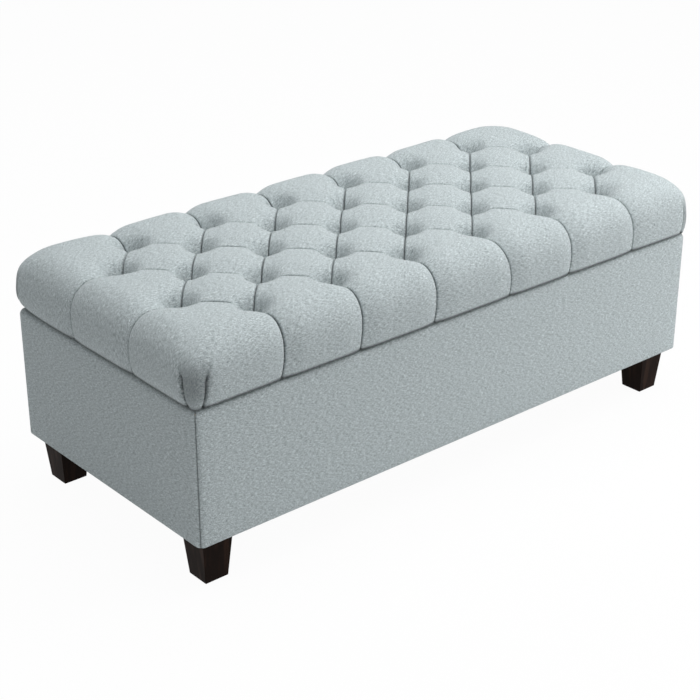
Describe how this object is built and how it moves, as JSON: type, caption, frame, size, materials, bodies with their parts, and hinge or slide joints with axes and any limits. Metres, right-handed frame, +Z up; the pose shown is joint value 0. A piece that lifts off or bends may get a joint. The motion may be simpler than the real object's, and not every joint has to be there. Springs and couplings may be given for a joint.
{
  "type": "storage bench",
  "caption": "Rectangular upholstered storage bench with a deep-tufted hinged lid over an open compartment, on short tapered wooden legs.",
  "frame": {"origin": "on the floor, under the middle of the bench", "axes": "+X along the length, +Y towards the hinged back, +Z up"},
  "size_m": [1.22, 0.558, 0.4572],
  "materials": {
    "upholstery_cloth": "matte",
    "foam": "matte",
    "plywood": "matte",
    "frame_timber": "matte",
    "stained_wood": "satin",
    "lining_cloth": "matte",
    "steel_plate": "satin",
    "zinc_plated_steel": "satin",
    "glide_plastic": "matte",
    "bumper_rubber": "matte",
    "twine": "matte"
  },
  "bodies": {
    "box": {"front_panel": "plywood", "back_panel": "plywood", "left_end_panel": "plywood", "right_end_panel": "plywood", "front_cover": "upholstery_cloth", "back_cover": "upholstery_cloth", "left_end_cover": "upholstery_cloth", "right_end_cover": "upholstery_cloth", "box_padding": "foam", "floor_panel": "plywood", "floor_batten_front": "frame_timber", "floor_batten_back": "frame_timber", "floor_batten_middle": "frame_timber", "leg_front_left": "stained_wood", "leg_front_right": "stained_wood", "leg_back_left": "stained_wood", "leg_back_right": "stained_wood", "leg_block_front_left": "frame_timber", "leg_block_front_right": "frame_timber", "leg_block_back_left": "frame_timber", "leg_block_back_right": "frame_timber", "leg_hanger_bolts": "zinc_plated_steel", "leg_tee_nuts": "zinc_plated_steel", "leg_glides": "glide_plastic", "wall_lining": "lining_cloth", "floor_lining": "lining_cloth", "dust_cover": "lining_cloth", "hinge_left_box_leaf": "steel_plate", "hinge_left_pin": "steel_plate", "hinge_right_box_leaf": "steel_plate", "hinge_right_pin": "steel_plate", "stay_left_box_bracket": "steel_plate", "stay_right_box_bracket": "steel_plate", "stay_box_rivets": "steel_plate", "panel_screws": "zinc_plated_steel", "floor_screws": "zinc_plated_steel", "box_staples": "zinc_plated_steel", "box_hardware_screws": "zinc_plated_steel"},
    "lid": {"lid_board": "plywood", "lid_foam": "foam", "lid_cover": "upholstery_cloth", "lid_lining": "lining_cloth", "hinge_left_lid_leaf": "steel_plate", "hinge_right_lid_leaf": "steel_plate", "stay_left_lid_bracket": "steel_plate", "stay_right_lid_bracket": "steel_plate", "stay_lid_rivets": "steel_plate", "lid_staples": "zinc_plated_steel", "lid_hardware_screws": "zinc_plated_steel", "tuft_twines": "twine", "tuft_washers": "zinc_plated_steel", "lid_bumpers": "bumper_rubber"},
    "stay_left_lower": {"stay_left_lower_link": "steel_plate", "stay_left_knuckle_rivet": "steel_plate"},
    "stay_left_upper": {"stay_left_upper_link": "steel_plate"},
    "stay_right_lower": {"stay_right_lower_link": "steel_plate", "stay_right_knuckle_rivet": "steel_plate"},
    "stay_right_upper": {"stay_right_upper_link": "steel_plate"}
  },
  "joints": [
    {"name": "lid_hinge", "type": "hinge", "parent": "box", "child": "lid", "pos_m": [0, 0.272, 0.3455], "axis": [-1, 0, 0], "range_deg": [0, 88]},
    {"name": "stay_left_box_pivot", "type": "hinge", "parent": "box", "child": "stay_left_lower", "pos_m": [-0.5769, 0.237, 0.2455], "axis": [-1, 0, 0], "range_deg": [0, 88]},
    {"name": "stay_left_lid_pivot", "type": "hinge", "parent": "lid", "child": "stay_left_upper", "pos_m": [-0.5744, 0.122, 0.3335], "axis": [-1, 0, 0], "range_deg": [-88, 0]},
    {"name": "stay_right_box_pivot", "type": "hinge", "parent": "box", "child": "stay_right_lower", "pos_m": [0.5769, 0.237, 0.2455], "axis": [-1, 0, 0], "range_deg": [0, 88]},
    {"name": "stay_right_lid_pivot", "type": "hinge", "parent": "lid", "child": "stay_right_upper", "pos_m": [0.5744, 0.122, 0.3335], "axis": [-1, 0, 0], "range_deg": [-88, 0]}
  ],
  "couplings": [
    {"joint": "stay_left_box_pivot", "follows": "lid_hinge", "ratio": 1},
    {"joint": "stay_left_lid_pivot", "follows": "lid_hinge", "ratio": -1},
    {"joint": "stay_right_box_pivot", "follows": "lid_hinge", "ratio": 1},
    {"joint": "stay_right_lid_pivot", "follows": "lid_hinge", "ratio": -1}
  ]
}
